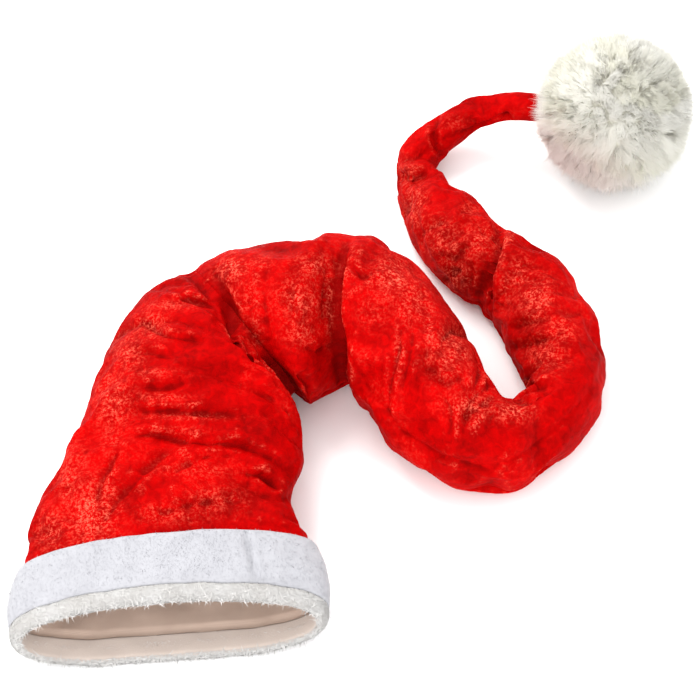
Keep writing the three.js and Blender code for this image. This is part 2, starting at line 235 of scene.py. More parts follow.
PILE_SEED = 11
camera_place = TARGET + CAMERA_DISTANCE * Vector((0, -math.cos(ELEVATION), math.sin(ELEVATION)))
BAND_OUT = SEAM_GAP + BAND_THICKNESS
LINING_OUT = -VELVET_WALL - SEAM_GAP
FACING_OUT = LINING_OUT - LINING_WALL - SEAM_GAP
CLOTH_START = HEM_LENGTH + SEAM_GAP
VELVET_START = 0.030


def section_table():
    """The rows as lengths, and the distance of each from the rim along the centreline."""
    tip_lift = POMPOM_HEIGHT - TAIL_HEIGHT * TAIL_ROWS[-1][4] / 2
    rows = []
    tables = ((CROWN_ROWS, CROWN_WIDTH, CROWN_HEIGHT), (TAIL_ROWS, TAIL_WIDTH, TAIL_HEIGHT))
    for table, width, height in tables:
        for x, y, face, wide, high, lift, lean in table:
            place = (RIM_PLACE[0] + x * LAY_WIDTH, RIM_PLACE[1] + y * LAY_DEPTH)
            rows.append((*place, math.radians(face), wide * width, high * height, lift * tip_lift, lean))
    rows = np.array(rows)
    gaps = np.hypot(*np.diff(rows[:, :2], axis=0).T)
    return rows, np.concatenate([[0], np.cumsum(gaps)])


SECTIONS, DISTANCES = section_table()
FOLD_ROW = len(CROWN_ROWS) - 1
FOLD_AT = DISTANCES[FOLD_ROW]
TIP_AT = DISTANCES[-1]


def route(along):
    """Sections at these distances from the rim, on a smooth curve through the rows."""
    along = np.clip(along, 0, TIP_AT)
    i = np.clip(np.searchsorted(DISTANCES, along, side="right") - 1, 0, len(DISTANCES) - 2)
    chord = np.diff(SECTIONS, axis=0) / np.diff(DISTANCES)[:, None]
    slope = np.vstack([chord[:1], (chord[1:] + chord[:-1]) / 2, chord[-1:]])
    step = DISTANCES[i + 1] - DISTANCES[i]
    t = ((along - DISTANCES[i]) / step)[:, None]
    h00 = 2 * t**3 - 3 * t**2 + 1
    h10 = (t**3 - 2 * t**2 + t) * step[:, None]
    h11 = (t**3 - t**2) * step[:, None]
    return h00 * SECTIONS[i] + h10 * slope[i] + (1 - h00) * SECTIONS[i + 1] + h11 * slope[i + 1]


def distance_of(row):
    """Distance from the rim of a place given in rows."""
    return np.interp(row, np.arange(len(DISTANCES)), DISTANCES)


def row_of(along):
    """The row, with its fraction, that lies at a distance from the rim."""
    return np.interp(along, DISTANCES, np.arange(len(DISTANCES)))


def dent(along, angle):
    """How far the folds press the velvet in, as a share of its half size."""
    total = 0
    for row, near, far, deep, around, span, least, twist in FOLDS:
        turned = (angle - math.radians(around) + math.pi) % (2 * math.pi) - math.pi
        away = along - distance_of(row + twist * turned / (2 * math.pi))
        fade = np.where(away < 0, near, far) * TAIL_WIDTH
        side = np.exp(-np.abs(away) / fade)
        turned = np.minimum(np.abs(turned) / math.radians(span), 1)
        total = total + deep * side * (least + (1 - least) * 0.5 * (1 + np.cos(math.pi * turned)))
    return total


def smoothstep(value, low, high):
    t = np.clip((value - low) / (high - low), 0, 1)
    return t * t * (3 - 2 * t)


def surface(along, angle, out):
    """Points of the hat's form, out outside the velvet's face."""
    along = np.asarray(along, float)
    out = np.broadcast_to(out, along.shape)[:, None]
    x, y, face, wide, high, lift, lean = (column[:, None] for column in route(along).T)
    landing = smoothstep(along[:, None], BAND_LENGTH, BAND_LENGTH + LANDING_LENGTH)
    low = BAND_OUT * (1 - landing) + np.maximum(lift, 0)
    middle = low + high * (0.5 - FLAT_SHARE)
    angle = np.asarray(angle)[None, :]
    keep = 1 - dent(along[:, None], angle)
    sine = np.sin(angle)
    rise = np.where(sine < 0, -np.abs(sine) ** CORNER_POWER, sine)
    across = (wide / 2 * keep + out) * np.cos(angle)
    up = np.maximum((high / 2 * keep + out) * rise, low - out - middle)
    forward = -lean * up
    return np.stack(
        [
            x - np.sin(face) * across + np.cos(face) * forward,
            y + np.cos(face) * across + np.sin(face) * forward,
            middle + up,
        ],
        axis=-1,
    )


def angles(sides):
    return np.arange(sides) * 2 * math.pi / sides


def grid_faces(rows, sides):
    """Quads between neighbouring rings of points, facing out."""
    i, j = np.meshgrid(np.arange(rows - 1), np.arange(sides), indexing="ij")
    k = (j + 1) % sides
    quads = np.stack([i * sides + j, i * sides + k, (i + 1) * sides + k, (i + 1) * sides + j], axis=-1)
    return quads.reshape(-1, 4)


def add_mesh(name, points, faces):
    """A new smooth object of these points and faces."""
    mesh = bpy.data.meshes.new(name)
    mesh.from_pydata(np.asarray(points).reshape(-1, 3).tolist(), [], [list(map(int, f)) for f in faces])
    mesh.update()
    mesh.shade_smooth()
    piece = bpy.data.objects.new(name, mesh)
    bpy.context.scene.collection.objects.link(piece)
    return piece


def unit(vectors):
    """The same directions with a length of 1."""
    return vectors / np.maximum(np.linalg.norm(vectors, axis=-1, keepdims=True), 1e-12)


def grid_normals(points):
    """Outward normals of a grid of closed rings."""
    round_it = np.roll(points, -1, axis=1) - np.roll(points, 1, axis=1)
    along_it = np.gradient(points, axis=0)
    return unit(np.cross(round_it, along_it))


def refine(points):
    """Twice as many rings and sides, on smooth curves through the old points."""
    before = np.roll(points, 1, axis=1)
    after = np.roll(points, -1, axis=1)
    beyond = np.roll(points, -2, axis=1)
    middle = (9 * (points + after) - before - beyond) / 16
    points = np.stack([points, middle], axis=2).reshape(points.shape[0], -1, 3)
    padded = np.concatenate([points[:1], points, points[-1:]])
    middle = (9 * (points[:-1] + points[1:]) - padded[:-3] - padded[3:]) / 16
    rings = np.empty((2 * len(points) - 1, points.shape[1], 3))
    rings[0::2] = points
    rings[1::2] = middle
    return rings


def pixels(points):
    """Where points lie in the photograph's frame."""
    away = points - np.array(camera_place)
    depth = away @ np.array((0, math.cos(ELEVATION), -math.sin(ELEVATION)))
    across = away[..., 0]
    up = away @ np.array((0, math.sin(ELEVATION), math.cos(ELEVATION)))
    return np.stack([IMAGE / 2 + FOCUS * across / depth, IMAGE / 2 - FOCUS * up / depth], axis=-1)


def crease_shift(seen, line, depth, width, lift, reach):
    """How far one crease moves points seen at these pixels, out of the surface, in mm."""
    line = np.array(line, float)
    best = np.full(seen.shape[:-1], 1e9)
    signed = np.zeros_like(best)
    ends = np.zeros_like(best)
    lengths = np.hypot(*np.diff(line, axis=0).T)
    total = lengths.sum()
    passed = 0
    for a, b, length in zip(line[:-1], line[1:], lengths):
        way = (b - a) / length
        offset = seen - a
        t = np.clip(offset @ way, 0, length)
        gap = offset - t[..., None] * way
        distance = np.hypot(gap[..., 0], gap[..., 1])
        side = np.sign(gap[..., 0] * way[1] - gap[..., 1] * way[0])
        closer = distance < best
        best = np.where(closer, distance, best)
        signed = np.where(closer, distance * side, signed)
        ends = np.where(closer, (passed + t) / total, ends)
        passed += length
    s = signed / PIXELS_PER_MM
    fade = np.sin(math.pi * np.clip(ends, 0.0, 1.0)) ** 0.5
    fade = np.where((ends <= 0) | (ends >= 1), 0.0, fade)
    groove = -GROOVE_GAIN * depth * np.exp(-((s / (GROOVE_SPREAD * width)) ** 2))
    towards = s if lift >= 0 else -s
    rise = smoothstep(towards, 0, width * 1.5)
    swell = SWELL_GAIN * abs(lift) * rise * np.exp(-np.maximum(towards, 0) / reach)
    return fade * (groove + swell)


def photo_side(points, full):
    """How squarely the velvet faces the photograph's camera: 0 on its far side, and 1 past full."""
    view = unit(np.array(camera_place) - points)
    return smoothstep((grid_normals(points) * view).sum(-1), 0.0, full)


def add_creases(points, rows):
    """Presses the creases of the photograph into the side of the velvet that its camera sees."""
    seen = pixels(points)
    shift = np.zeros(points.shape[:-1])
    for line, (first, last), depth, width, lift, reach in CREASES:
        inside = smoothstep(rows, first - ROW_FADE, first + ROW_FADE)
        inside *= 1 - smoothstep(rows, last - ROW_FADE, last + ROW_FADE)
        picked = inside > 0
        if picked.any():
            pressed = crease_shift(seen[picked], line, depth, width, lift, reach)
            shift[picked] += inside[picked, None] * pressed
    shift *= photo_side(points, 0.25)
    for _ in range(2):
        beside = np.roll(shift[1:-1], 1, axis=1) + np.roll(shift[1:-1], -1, axis=1)
        shift[1:-1] = (2 * shift[1:-1] + beside + shift[:-2] + shift[2:]) / 6
    return points + (shift * MM)[..., None] * grid_normals(points)


def crumple(points, rows):
    """Small soft dents all over the velvet, flatter near the band."""
    flat = points.reshape(-1, 3)
    amount = np.empty(len(flat))
    for i, (x, y, z) in enumerate(flat.tolist()):
        coarse = noise.noise(Vector((x, y, z)) * COARSE_DENTS)
        fine = abs(noise.noise(Vector((x + 3, y, z)) * FINE_DENTS))
        amount[i] = coarse - FINE_DEPTH * fine + DENT_LEVEL
    amount = amount.reshape(points.shape[:-1]) * smoothstep(rows, 0.5, 2)[:, None]
    amount *= 1 - 0.5 * smoothstep(rows, 27, 32)[:, None]
    return points + (amount * MM)[..., None] * grid_normals(points)


def settle(points, rows):
    """Lets slack velvet buckle under a light stuffing pressure, and returns where its points lie."""
    count, sides = points.shape[:2]
    normals = grid_normals(points)
    slack = SLACK * smoothstep(rows, HELD_ROW, 3.5) * (1 - smoothstep(rows, 30, 32))
    points = points - normals * slack[:, None, None] * (points[..., 2:] > HELD_HEIGHT)
    cloth = add_mesh("slack_velvet", points, grid_faces(count, sides))
    held = np.full((count, sides), HELD_ELSEWHERE)
    held[points[..., 2] < HELD_HEIGHT] = 1.0
    held[rows < HELD_ROW] = 1.0
    held[-12:] = 1.0
    near_fold = np.exp(-((rows[:, None] - np.array(DEEP_FOLDS)) / 0.35) ** 2).max(axis=1)
    held = np.maximum(held, 0.8 * near_fold[:, None])
    group = cloth.vertex_groups.new(name="held")
    flat = held.ravel()
    for weight in np.unique(np.round(flat, 2)):
        members = np.nonzero(np.abs(np.round(flat, 2) - weight) < 0.001)[0]
        group.add(members.tolist(), float(weight), "REPLACE")
    modifier = cloth.modifiers.new("Cloth", "CLOTH")
    settings = modifier.settings
    settings.quality = 5
    settings.mass = 0.3
    settings.tension_stiffness = 15
    settings.compression_stiffness = 15
    settings.shear_stiffness = 5
    settings.bending_stiffness = 3
    settings.shrink_min = -0.05
    settings.use_pressure = True
    settings.uniform_pressure_force = 3
    settings.vertex_group_mass = "held"
    settings.pin_stiffness = 0.6
    settings.effector_weights.gravity = 0
    modifier.collision_settings.use_collision = False
    modifier.collision_settings.use_self_collision = False
    scene = bpy.context.scene
    for number in range(1, CLOTH_FRAMES + 1):
        scene.frame_set(number)
    graph = bpy.context.evaluated_depsgraph_get()
    mesh = cloth.evaluated_get(graph).to_mesh()
    moved = np.empty(count * sides * 3)
    mesh.vertices.foreach_get("co", moved)
    scene.frame_set(1)
    bpy.data.objects.remove(cloth, do_unlink=True)
    shift = moved.reshape(points.shape) - points
    size = np.linalg.norm(shift, axis=-1, keepdims=True)
    return even(points + shift * np.minimum(1, MOST_MOVE / np.maximum(size, 1e-9)), 0.5)


def even(points, share):
    """Each point moved part of the way to the middle of its neighbours, apart from the end rings."""
    inner = points[1:-1]
    beside = np.roll(inner, 1, axis=1) + np.roll(inner, -1, axis=1)
    middle = (beside + points[:-2] + points[2:]) / 4
    return np.concatenate([points[:1], inner + (middle - inner) * share, points[-1:]])


def skin():
    """The whole velvet cone as rings of points, with the row that each ring lies on."""
    fold_ring = round((FOLD_AT - VELVET_START) / CROWN_STEP)
    tail_rings = round((TIP_AT - FOLD_AT) / TAIL_STEP)
    crown_part = np.linspace(VELVET_START, FOLD_AT, fold_ring + 1)
    tail_part = np.linspace(FOLD_AT, TIP_AT, tail_rings + 1)
    along = np.concatenate([crown_part, tail_part[1:]])
    points = surface(along, angles(SKIN_SIDES), 0)
    points = settle(points, row_of(along))
    points = refine(points)
    fine = np.empty(2 * len(along) - 1)
    fine[0::2] = along
    fine[1::2] = (along[1:] + along[:-1]) / 2
    rows = row_of(fine)
    points = crumple(points, rows)
    points = even(add_creases(points, rows), 0.15)
    underside = BAND_OUT * (1 - smoothstep(fine, BAND_LENGTH, BAND_LENGTH + LANDING_LENGTH))
    points[..., 2] = np.maximum(points[..., 2], underside[:, None])
    return points, fine, 2 * fold_ring


def link(tree, source, target):
    tree.links.new(source, target)


def new_material(name):
    material = bpy.data.materials.new(name)
    material.use_nodes = True
    tree = material.node_tree
    shader = next(node for node in tree.nodes if node.type == "BSDF_PRINCIPLED")
    return material, tree, shader


def mark_node(tree, name):
    """The number of this name that each point of a piece carries."""
    node = tree.nodes.new("ShaderNodeAttribute")
    node.attribute_name = name
    return node.outputs["Fac"]


def noise_node(tree, place, scale, detail=3.0, roughness=0.5, distortion=0.0):
    node = tree.nodes.new("ShaderNodeTexNoise")
    node.inputs["Scale"].default_value = scale
    node.inputs["Detail"].default_value = detail
    node.inputs["Roughness"].default_value = roughness
    node.inputs["Distortion"].default_value = distortion
    link(tree, place, node.inputs["Vector"])
    return node.outputs["Fac"]


def ramp_node(tree, value, stops):
    """A ramp from positions to grey levels or colours."""
    node = tree.nodes.new("ShaderNodeValToRGB")
    elements = node.color_ramp.elements
    while len(elements) < len(stops):
        elements.new(0.5)
    for element, (position, colour) in zip(elements, stops):
        element.position = position
        element.color = (*colour, 1) if hasattr(colour, "__len__") else (colour, colour, colour, 1)
    link(tree, value, node.inputs["Fac"])
    return node.outputs["Color"]


def math_node(tree, operation, a, b, clamp=False):
    node = tree.nodes.new("ShaderNodeMath")
    node.operation = operation
    node.use_clamp = clamp
    for socket, value in zip(node.inputs, (a, b)):
        if hasattr(value, "links"):
            link(tree, value, socket)
        else:
            socket.default_value = value
    return node.outputs[0]


def mix_node(tree, factor, a, b):
    """A colour between a and b."""
    node = tree.nodes.new("ShaderNodeMix")
    node.data_type = "RGBA"
    for socket, value in ((node.inputs[0], factor), (node.inputs[6], a), (node.inputs[7], b)):
        if hasattr(value, "links"):
            link(tree, value, socket)
        elif hasattr(value, "__len__"):
            socket.default_value = (*value, 1)
        else:
            socket.default_value = value
    return node.outputs[2]


def bump_node(tree, height, strength, distance, below=None):
    node = tree.nodes.new("ShaderNodeBump")
    node.inputs["Strength"].default_value = strength
    node.inputs["Distance"].default_value = distance
    link(tree, height, node.inputs["Height"])
    if below is not None:
        link(tree, below, node.inputs["Normal"])
    return node.outputs["Normal"]


def velvet_material():
    """Crushed velvet: red pile of random tone, with painted sheen in fine salmon flecks where the pile is
    crushed and painted shade in its hollows.
    """
    material, tree, shader = new_material("crushed_velvet")
    place = tree.nodes.new("ShaderNodeTexCoord").outputs["Object"]
    patches = noise_node(tree, place, 17, 2, 0.5, 0.2)
    streaks = noise_node(tree, place, 130, 3, 0.6, 0.6)
    flecks = noise_node(tree, place, 380, 3, 0.75, 0.3)
    patch = ramp_node(tree, patches, [(0.54, 0.0), (0.7, 0.12)])
    streak = ramp_node(tree, streaks, [(0.4, 0.15), (0.58, 1.0)])
    fleck = ramp_node(tree, flecks, [(0.47, 0.0), (0.62, 1.0)])
    # Painted sheen: the crushed pile is painted salmon in fine flecks, as if it caught the light
    crushed_sheen = math_node(tree, "MAXIMUM", mark_node(tree, "crush_sheen"), patch)
    crushed_sheen = math_node(tree, "MULTIPLY", crushed_sheen, streak, True)
    painted_sheen = math_node(tree, "MULTIPLY", crushed_sheen, fleck, True)
    tone = math_node(tree, "MULTIPLY", math_node(tree, "ADD", streaks, patches), 0.5)
    shade = ramp_node(tree, tone, [(0.34, (0.2, 0.0, 0.0)), (0.62, (0.44, 0.0, 0.0002))])
    # Painted shade in the velvet's hollows and creases
    shade = mix_node(tree, mark_node(tree, "hollow_shade"), shade, (0.1, 0.0, 0.0))
    # The red with the painted sheen flecks mixed in
    colour = mix_node(tree, painted_sheen, shade, (0.82, 0.13, 0.078))
    link(tree, colour, shader.inputs["Base Color"])
    shader.inputs["Roughness"].default_value = 0.7
    shader.inputs["Specular IOR Level"].default_value = 0.02
    shader.inputs["Sheen Weight"].default_value = 0.01
    shader.inputs["Sheen Roughness"].default_value = 0.4
    shader.inputs["Sheen Tint"].default_value = (1.0, 0.16, 0.1, 1)
    pressed = bump_node(tree, streaks, 0.2, 0.0012)
    link(tree, bump_node(tree, flecks, 0.15, 0.0006, pressed), shader.inputs["Normal"])
    return material


# Painted sheen: places where the crushed pile is painted bright, as if it caught the light, by the pixel
# that each is centred on, its half width and half height in pixels and its strength
CRUSHED_SHEEN = [
    (90, 515, 24, 34, 1.0), (72, 480, 16, 40, 0.6), (52, 530, 16, 22, 0.7), (112, 400, 18, 26, 0.9),
    (128, 352, 16, 20, 0.7), (150, 325, 16, 16, 0.7), (112, 440, 12, 24, 0.4), (100, 550, 24, 12, 0.7),
    (160, 397, 26, 4, 0.6), (185, 417, 44, 3, 0.5), (150, 373, 26, 5, 0.5), (200, 470, 34, 9, 0.35),
    (215, 500, 30, 16, 0.4), (165, 430, 34, 4, 0.4), (170, 305, 22, 5, 0.7), (175, 515, 40, 10, 0.4),
    (232, 268, 16, 12, 1.0), (262, 262, 14, 10, 0.4), (314, 265, 22, 12, 0.6), (300, 300, 26, 24, 0.6),
    (250, 300, 12, 26, 0.3), (328, 300, 3, 40, 0.8), (255, 335, 8, 12, 0.4), (300, 330, 16, 14, 0.6),
    (392, 278, 20, 22, 0.9), (412, 300, 18, 26, 0.6), (452, 352, 22, 30, 0.7), (470, 405, 26, 12, 0.8),
    (512, 412, 20, 10, 0.9), (430, 330, 6, 40, 0.6), (398, 350, 4, 34, 0.5), (372, 310, 18, 20, 0.25),
    (536, 300, 18, 24, 0.8), (520, 275, 12, 20, 0.7), (560, 330, 16, 16, 0.6), (545, 355, 20, 18, 0.6),
    (415, 205, 12, 26, 0.7), (440, 240, 20, 22, 0.6), (455, 275, 18, 22, 0.7), (480, 240, 18, 18, 0.7),
    (470, 210, 10, 10, 0.4), (405, 175, 10, 20, 0.4), (455, 122, 14, 8, 0.3), (506, 290, 8, 24, 0.5),
]


def crush_sheen_marks(points):
    """How strong the painted sheen of the crushed pile is at each point that the photograph shows, from 0
    to 1.
    """
    seen = pixels(points)
    total = np.zeros(points.shape[:-1])
    for x, y, wide, high, strength in CRUSHED_SHEEN:
        away = ((seen[..., 0] - x) / wide) ** 2 + ((seen[..., 1] - y) / high) ** 2
        total = np.maximum(total, strength * np.exp(-1.2 * away))
    return total * photo_side(points, 0.2)


def relief(points):
    """How far each point stands out of the velvet around it, as a share of 0.5 mm."""
    around = points
    for _ in range(4):
        around = even(around, 1.0)
    return ((points - around) * grid_normals(points)).sum(-1) / (0.5 * MM)


def plush_material(name, light, shadow, grain):
    """White pile with soft uneven patches."""
    material, tree, shader = new_material(name)
    place = tree.nodes.new("ShaderNodeTexCoord").outputs["Object"]
    clouds = noise_node(tree, place, 45, 4, 0.6)
    colour = ramp_node(tree, clouds, [(0.35, shadow), (0.62, light)])
    colour = mix_node(tree, mark_node(tree, "facing"), colour, (0.52, 0.44, 0.39))
    link(tree, colour, shader.inputs["Base Color"])
    shader.inputs["Roughness"].default_value = 0.95
    shader.inputs["Specular IOR Level"].default_value = 0.1
    shader.inputs["Sheen Weight"].default_value = 0.25
    shader.inputs["Sheen Roughness"].default_value = 0.5
    fine = noise_node(tree, place, grain, 3, 0.7)
    link(tree, bump_node(tree, fine, 0.3, 0.001), shader.inputs["Normal"])
    return material


def lining_material():
    """Thin beige cloth in a plain weave."""
    material, tree, shader = new_material("lining_cloth")
    place = tree.nodes.new("ShaderNodeTexCoord").outputs["Object"]
    waves = []
    for direction in ("X", "Y"):
        wave = tree.nodes.new("ShaderNodeTexWave")
        wave.bands_direction = direction
        wave.inputs["Scale"].default_value = 320
        wave.inputs["Distortion"].default_value = 0.6
        link(tree, place, wave.inputs["Vector"])
        waves.append(wave.outputs["Fac"])
    weave = math_node(tree, "MULTIPLY", *waves)
    clouds = noise_node(tree, place, 16, 3, 0.6)
    base = ramp_node(tree, clouds, [(0.35, (0.42, 0.31, 0.25)), (0.65, (0.53, 0.4, 0.33))])
    link(tree, mix_node(tree, weave, base, (0.58, 0.45, 0.37)), shader.inputs["Base Color"])
    shader.inputs["Roughness"].default_value = 0.9
    shader.inputs["Specular IOR Level"].default_value = 0.15
    link(tree, bump_node(tree, weave, 0.4, 0.0006), shader.inputs["Normal"])
    return material


def fur_material():
    """Off-white fur, warmer at its roots, with painted red bounce light on the side towards the velvet,
    and some light let through.
    """
    material, tree, shader = new_material("fur")
    tuft_colours = [(0.1, (0.96, 0.95, 0.85)), (0.45, (0.99, 0.98, 0.91)), (0.9, (1.0, 0.99, 0.94))]
    tint = ramp_node(tree, mark_node(tree, "tuft"), tuft_colours)
    root = ramp_node(tree, mark_node(tree, "tip"), [(0.1, 0.0), (0.75, 1.0)])
    colour = mix_node(tree, root, (0.97, 0.95, 0.84), tint)
    # Painted red bounce light from the velvet
    colour = mix_node(tree, mark_node(tree, "painted_bounce"), colour, (1.0, 0.87, 0.82))
    link(tree, colour, shader.inputs["Base Color"])
    shader.inputs["Roughness"].default_value = 0.75
    shader.inputs["Specular IOR Level"].default_value = 0.2
    shader.inputs["Sheen Weight"].default_value = 0.3
    through = tree.nodes.new("ShaderNodeBsdfTranslucent")
    link(tree, colour, through.inputs["Color"])
    both = tree.nodes.new("ShaderNodeMixShader")
    both.inputs["Fac"].default_value = LIGHT_THROUGH
    link(tree, shader.outputs["BSDF"], both.inputs[1])
    link(tree, through.outputs["BSDF"], both.inputs[2])
    link(tree, both.outputs["Shader"], tree.nodes["Material Output"].inputs["Surface"])
    return material


def add_value(piece, name, values):
    """A number on each point of a piece, for its material to read."""
    layer = piece.data.attributes.new(name, "FLOAT", "POINT")
    layer.data.foreach_set("value", np.asarray(values, np.float32).ravel())


def finish_piece(piece, material, slot, *nodes):
    """Gives a piece its material, its body and the solids that it stands for; its slot is not used."""
    piece.data.materials.append(material)
    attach(piece, "root")
    if nodes:
        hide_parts(*nodes)


def velvet_pieces():
    """The hollow crown, and the stuffed tail whose first ring meets it in the deep fold."""
    points, along, fold_ring = skin()
    sides = points.shape[1]
    height = relief(points)
    # Painted highlight on the marked crushed places and on the raised ridges of the velvet
    crush_sheen = np.maximum(crush_sheen_marks(points), 0.7 * smoothstep(height, 0.9, 2.4))
    # Painted shade: velvet lying lower than its surroundings is painted darker red, as in the shade of a
    # crease
    hollow_shade = 0.6 * smoothstep(-height, 0.5, 2.4)
    material = velvet_material()
    crown = add_mesh("crown", points[: fold_ring + 1], grid_faces(fold_ring + 1, sides))
    add_value(crown, "crush_sheen", crush_sheen[: fold_ring + 1])
    add_value(crown, "hollow_shade", hollow_shade[: fold_ring + 1])
    finish_piece(crown, material, "velvet", "velvet_crown")
    tail_points = points[fold_ring:]
    faces = grid_faces(len(tail_points), sides).tolist()
    faces.append(list(range(sides))[::-1])
    faces.append([(len(tail_points) - 1) * sides + j for j in range(sides)])
    tail = add_mesh("tail", tail_points, faces)
    add_value(tail, "crush_sheen", crush_sheen[fold_ring:])
    add_value(tail, "hollow_shade", hollow_shade[fold_ring:])
    finish_piece(tail, material, "velvet", "velvet_tail")
    return points, along


def loop_grid(profile, sides):
    """Rings of points round the rim for a closed profile of (along, out) pairs."""
    along = np.array([p[0] for p in profile])
    out = np.array([p[1] for p in profile])
    return surface(along, angles(sides), out)


def smooth_profile(corners, step):
    """Points about a step apart along a closed outline, its corners softened."""
    corners = np.array(corners, float)
    lengths = np.hypot(*(np.roll(corners, -1, axis=0) - corners).T)
    ends = np.concatenate([[0], np.cumsum(lengths)])
    count = max(8, int(round(ends[-1] / step)))
    at = np.arange(count) * ends[-1] / count
    closed = np.vstack([corners, corners[:1]])
    line = np.stack([np.interp(at, ends, closed[:, k]) for k in (0, 1)], axis=-1)
    for _ in range(2):
        line = (np.roll(line, 1, axis=0) + 2 * line + np.roll(line, -1, axis=0)) / 4
    return line


def closed_faces(rings, sides):
    """Quads of a closed tube of rings, whose last ring meets its first."""
    i, j = np.meshgrid(np.arange(rings), np.arange(sides), indexing="ij")
    ni = (i + 1) % rings
    k = (j + 1) % sides
    return np.stack([i * sides + j, i * sides + k, ni * sides + k, ni * sides + j], axis=-1).reshape(-1, 4)


def ring_normals(points):
    """Outward normals of a grid that closes both ways."""
    round_it = np.roll(points, -1, axis=1) - np.roll(points, 1, axis=1)
    along_it = np.roll(points, -1, axis=0) - np.roll(points, 1, axis=0)
    return unit(np.cross(round_it, along_it))


def add_blades(name, roots, outward, lengths, width, spread, comb, own, rng):
    """Short pile as one thin blade on each root, its shading mostly taken from the surface below."""
    count = len(roots)
    lean = rng.normal(size=(count, 3)) * spread + np.array(comb)
    way = unit(outward + lean)
    half = unit(np.cross(way, outward)) * width / 2
    tips = roots + way * lengths[:, None]
    points = np.stack([roots - half, roots + half, tips], axis=1)
    points[..., 2] = np.maximum(points[..., 2], PILE_CLEARANCE)
    faces = np.arange(count * 3).reshape(-1, 3)
    piece = add_mesh(name, points, faces)
    shading = unit(np.repeat((1 - own) * outward + own * way, 3, axis=0))
    piece.data.normals_split_custom_set_from_vertices(shading.tolist())
    return piece


def scatter(points, normals, count, rng, weights):
    """Random places on a closed grid, by its area times the weights, with its normals there."""
    rings, sides = points.shape[:2]
    side_a = np.roll(points, -1, axis=0) - points
    side_b = np.roll(points, -1, axis=1) - points
    area = np.linalg.norm(np.cross(side_a, side_b), axis=-1) * weights
    picks = rng.choice(rings * sides, size=count, p=(area / area.sum()).ravel())
    i, j = np.divmod(picks, sides)
    u, v = rng.random((2, count, 1))
    ni = (i + 1) % rings
    nj = (j + 1) % sides

    def between(grid):
        low = grid[i, j] * (1 - v) + grid[i, nj] * v
        high = grid[ni, j] * (1 - v) + grid[ni, nj] * v
        return low * (1 - u) + high * u

    return between(points), unit(between(normals))


def rim_pieces():
    """The plush band and the fluffier hem below it, each a soft body with its pile."""
    rng = np.random.default_rng(PILE_SEED)
    band_profile = smooth_profile(
        [
            (CLOTH_START, 0.0020),
            (CLOTH_START, 0.0045),
            (CLOTH_START + 0.0005, BAND_OUT),
            (0.030, BAND_OUT),
            (0.065, BAND_OUT),
            (BAND_LENGTH - 0.001, BAND_OUT - 0.001),
            (BAND_LENGTH, SEAM_GAP),
            (0.050, SEAM_GAP),
        ],
        0.0020,
    )
    hem_profile = smooth_profile(
        [
            (HEM_LENGTH, FACING_OUT),
            (HEM_LENGTH + 0.0012, 0.004),
            (HEM_LENGTH + 0.0008, BAND_OUT),
            (HEM_LENGTH / 2, BAND_OUT + 0.0006),
            (0.002, BAND_OUT - 0.002),
            (0.0, 0.0),
            (0.001, FACING_OUT - LINING_WALL),
            (HEM_LENGTH + HEM_FACING, FACING_OUT - LINING_WALL),
            (HEM_LENGTH + HEM_FACING, FACING_OUT),
        ],
        0.002,
    )
    band_cloth = plush_material("band_plush", (0.38, 0.38, 0.405), (0.35, 0.35, 0.375), 900)
    hem_cloth = plush_material("hem_plush", (0.56, 0.55, 0.54), (0.5, 0.485, 0.47), 700)
    # The blades' count, length, width, spread, comb and share of shading of their own
    band_blades = (62000, 0.0024, 0.0008, 0.35, (0, -0.9, -0.7), 0.0)
    hem_blades = (60000, 0.0068, 0.0008, 0.4, (0, -0.3, -0.15), 0.3)
    plans = (
        ("brim", band_profile, band_cloth, "plush", "brim_band", band_blades),
        ("hem", hem_profile, hem_cloth, "hem_plush", "brim_hem", hem_blades),
    )
    for name, profile, material, slot, node, blades in plans:
        count, length, width, spread, comb, own = blades
        points = loop_grid(profile, RIM_SIDES)
        lumps = np.array([noise.noise(Vector(p) * 55) for p in points.reshape(-1, 3).tolist()])
        normals = ring_normals(points)
        points = points + normals * lumps.reshape(points.shape[:-1])[..., None] * 0.0009
        if name == "brim":
            points = add_seam(points, normals)
        points[..., 2] = np.maximum(points[..., 2], PILE_CLEARANCE)
        body = add_mesh(name, points, closed_faces(*points.shape[:2]))
        finish_piece(body, material, slot, node)
        out = profile[:, 1]
        add_value(body, "facing", np.repeat(smoothstep(-out, 0.0012, 0.0028), RIM_SIDES))
        outside = np.where(out > FACING_OUT + 0.0005, 1.0, 0.0)
        if name == "brim":
            outside[(out > SEAM_GAP - 0.0004) & (out < 0.0009)] = 0.0
        roots, outward = scatter(points, normals, count, rng, outside[:, None])
        lengths = length * rng.uniform(0.6, 1.25, count)
        roots -= outward * ROOT_DEPTH
        pile = add_blades(name + "_pile", roots, outward, lengths, width, spread, comb, own, rng)
        finish_piece(pile, material, slot)


# The band's seam as pixels of the photograph
BAND_SEAM = [(245, 526), (250, 550), (259, 586)]


def add_seam(points, normals):
    """The groove where the band's ends are sewn together."""
    shift = crease_shift(pixels(points), BAND_SEAM, 2.6, 3, 1.0, 6)
    view = np.array(camera_place) - points
    facing = smoothstep((normals * view).sum(-1), 0.0, 0.4)
    return points + (shift * facing * MM)[..., None] * normals


def lining_piece(velvet, along):
    """The thin sleeve inside the crown, hanging a little slack below the velvet."""
    picked = along <= LINING_DEPTH
    deep = velvet[picked][::2, ::2]
    start = np.linspace(CLOTH_START, VELVET_START - 0.002, 5)
    front = surface(start, angles(deep.shape[1]), LINING_OUT - 0.0008)
    slack = np.array([abs(noise.noise(Vector(p) * 26)) for p in deep.reshape(-1, 3).tolist()])
    depth = 0.0035 + 0.0025 * slack.reshape(deep.shape[:-1])
    deep = deep - grid_normals(deep) * depth[..., None]
    points = np.concatenate([front, deep])
    lining = add_mesh("sleeve_lining", points, grid_faces(len(points), deep.shape[1]))
    finish_piece(lining, lining_material(), "lining_cloth", "lining")


